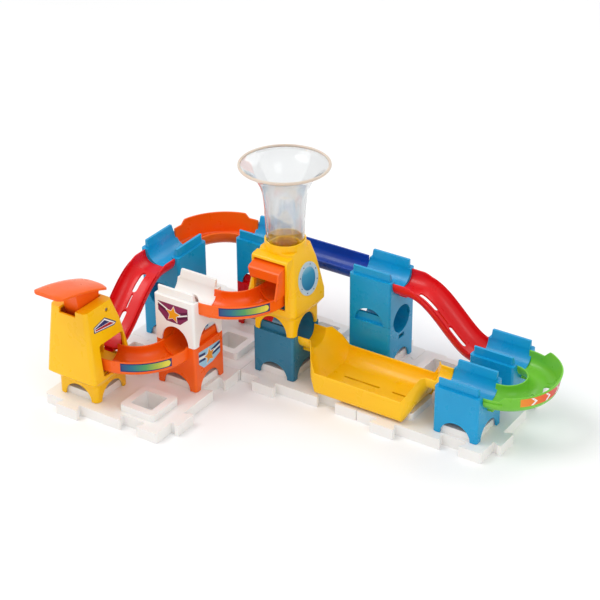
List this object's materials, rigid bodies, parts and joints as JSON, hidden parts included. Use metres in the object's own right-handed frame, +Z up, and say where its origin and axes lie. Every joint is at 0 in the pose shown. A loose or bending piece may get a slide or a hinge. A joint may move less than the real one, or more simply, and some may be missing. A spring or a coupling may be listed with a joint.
{
  "type": "toy marble run",
  "caption": "Modular toy marble run: stacking channel blocks, curved and sloping tracks, catch tray, rocket tower with clear funnel and a press launcher, on interlocking base plates.",
  "frame": {"origin": "on the ground plane, at the centre of the front left base plate's underside", "axes": "+X along the launcher row towards the half-circle track, +Y from the launcher row to the back row, +Z up"},
  "size_m": [0.5034, 0.3368, 0.258],
  "materials": {
    "white_plastic": "moulded, glossy",
    "orange_plastic": "moulded, glossy",
    "red_plastic": "moulded, glossy",
    "yellow_plastic": "moulded, glossy",
    "blue_plastic": "moulded, glossy",
    "teal_plastic": "moulded, glossy",
    "deep_blue_plastic": "moulded, glossy",
    "green_plastic": "moulded, glossy",
    "clear_plastic": "clear moulded plastic, glossy",
    "spring_steel": "drawn wire, satin"
  },
  "bodies": {
    "stand": {"base_plate_a": "white_plastic", "base_plate_b": "white_plastic", "base_plate_c": "white_plastic", "base_plate_d": "white_plastic", "pillar_orange": "orange_plastic", "drop_block_white": "white_plastic", "block_teal": "teal_plastic", "block_front_right": "blue_plastic", "block_back_right": "blue_plastic", "tower_right_lower": "blue_plastic", "tower_right_upper": "blue_plastic", "tower_middle_lower": "red_plastic", "tower_middle_upper": "blue_plastic", "tower_left_lower": "blue_plastic", "tower_left_upper": "blue_plastic", "track_curve_lower": "orange_plastic", "track_curve_upper": "orange_plastic", "track_curve_back": "orange_plastic", "track_u_turn": "green_plastic", "track_straight": "deep_blue_plastic", "slide_right": "red_plastic", "slide_left": "red_plastic", "catch_tray": "yellow_plastic", "rocket_tower": "yellow_plastic", "rocket_hood": "orange_plastic", "rocket_funnel": "clear_plastic", "launcher_tower": "yellow_plastic", "launcher_pin": "spring_steel", "launcher_spring": "spring_steel"},
    "lever": {"launcher_lever": "orange_plastic", "launcher_kicker": "red_plastic"}
  },
  "joints": [
    {"name": "lever_press", "type": "hinge", "parent": "stand", "child": "lever", "pos_m": [-0.0375, -0.0375, 0.116], "axis": [1, 0, 0], "range_deg": [0, 20], "stiffness_Nm_per_rad": 0.4, "springref_deg": -5.73, "deforming": ["launcher_spring"]}
  ]
}
